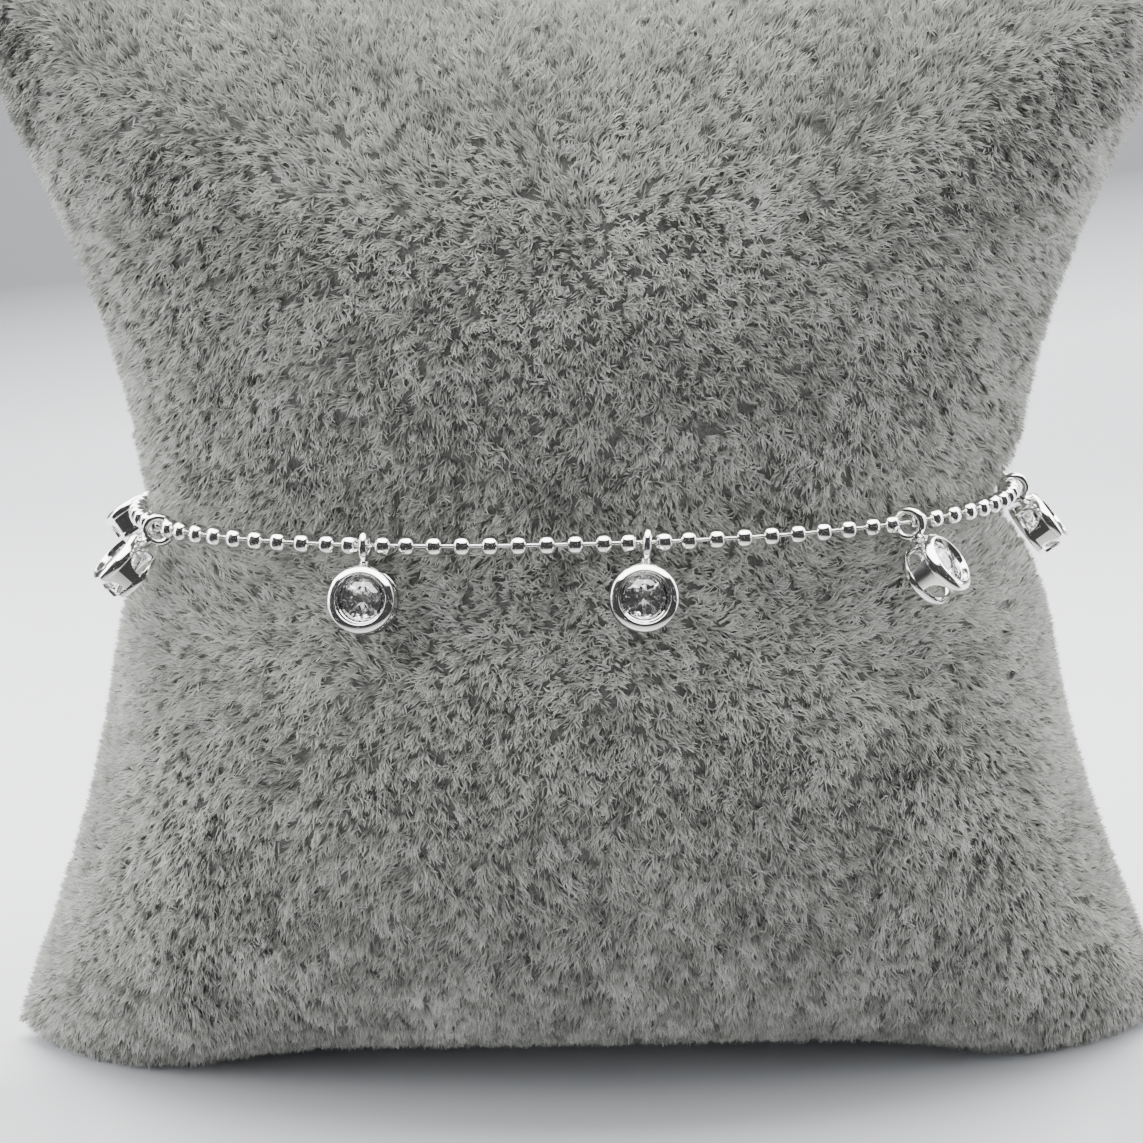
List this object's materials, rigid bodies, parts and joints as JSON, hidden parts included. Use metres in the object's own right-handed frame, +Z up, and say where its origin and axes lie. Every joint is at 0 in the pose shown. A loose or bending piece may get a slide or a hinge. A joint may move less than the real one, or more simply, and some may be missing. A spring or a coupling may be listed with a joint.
{
  "type": "charm bracelet on a display pillow",
  "caption": "Bead-chain bracelet with round bezel-set drops on soldered rings, closed round the waist of a small plush display pillow.",
  "frame": {"origin": "on the surface that the pillow stands on, under the middle of the whole part", "axes": "+Z up, +X to the right of a viewer who faces the front, -Y towards that viewer"},
  "size_m": [0.1026, 0.0511, 0.0907],
  "materials": {
    "silver": "mirror-polished silver",
    "crystal": "clear, brilliant cut",
    "plush": "short-pile mid-grey plush"
  },
  "bodies": {
    "root": {"pillow": "plush", "chain_1": "silver", "setting_1": "silver", "stone_1": "crystal", "chain_2": "silver", "setting_2": "silver", "stone_2": "crystal", "chain_3": "silver", "setting_3": "silver", "stone_3": "crystal", "chain_4": "silver", "setting_4": "silver", "stone_4": "crystal", "chain_5": "silver", "setting_5": "silver", "stone_5": "crystal", "chain_6": "silver", "setting_6": "silver", "stone_6": "crystal", "chain_7": "silver", "setting_7": "silver", "stone_7": "crystal", "chain_8": "silver", "setting_8": "silver", "stone_8": "crystal", "chain_9": "silver", "chain_10": "silver", "clasp": "silver"}
  },
  "joints": []
}
